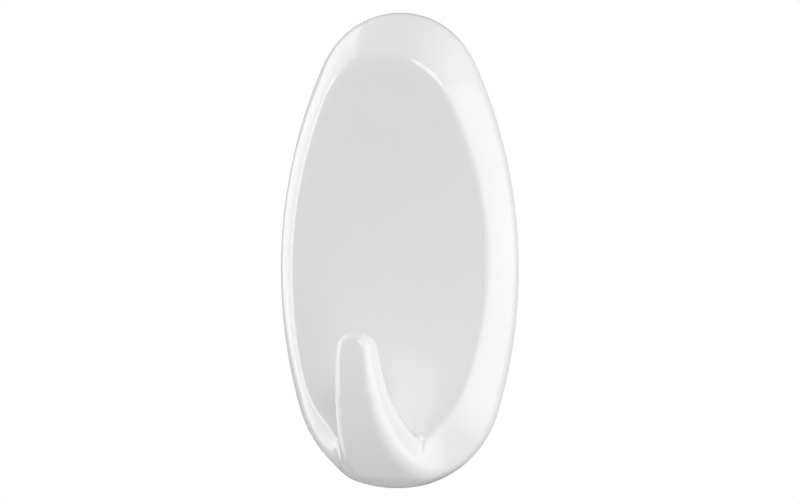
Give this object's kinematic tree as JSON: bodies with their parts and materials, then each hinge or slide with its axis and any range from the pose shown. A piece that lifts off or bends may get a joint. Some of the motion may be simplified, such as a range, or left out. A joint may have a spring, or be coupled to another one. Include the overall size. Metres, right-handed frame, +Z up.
{
  "type": "adhesive wall hook",
  "caption": "Oval white plastic wall hook: a clip-on cover with a nose-shaped hook over a flat base that is held to the wall by a stretch-release adhesive strip.",
  "frame": {"origin": "centre of the wall adhesive's face, on the wall plane", "axes": "+Y into the wall, -Y the front of the hook, +Z up, +X to the viewer's right"},
  "size_m": [0.0422, 0.0254, 0.08],
  "materials": {
    "cover_plastic": "glossy moulded white",
    "base_plastic": "fine-textured moulded white",
    "strip_foam": "stretchy closed-cell foam",
    "adhesive": "tacky, slightly glossy",
    "tab_film": "thin satin film"
  },
  "bodies": {
    "wall_mount": {"mounting_base": "base_plastic", "base_adhesive": "adhesive", "strip_core": "strip_foam", "wall_adhesive": "adhesive"},
    "cover": {"hook_cover": "cover_plastic"},
    "pull_tab": {"tab_film_front": "tab_film", "tab_film_back": "tab_film"}
  },
  "joints": [
    {"name": "cover_slide", "type": "slide", "parent": "wall_mount", "child": "cover", "axis": [0, 0, 1], "range_m": [0, 0.01]},
    {"name": "tab_pull", "type": "slide", "parent": "wall_mount", "child": "pull_tab", "axis": [0, 0, -1], "range_m": [0, 0.15], "stiffness_N_per_m": 120, "deforming": ["strip_core", "base_adhesive", "wall_adhesive"]}
  ]
}
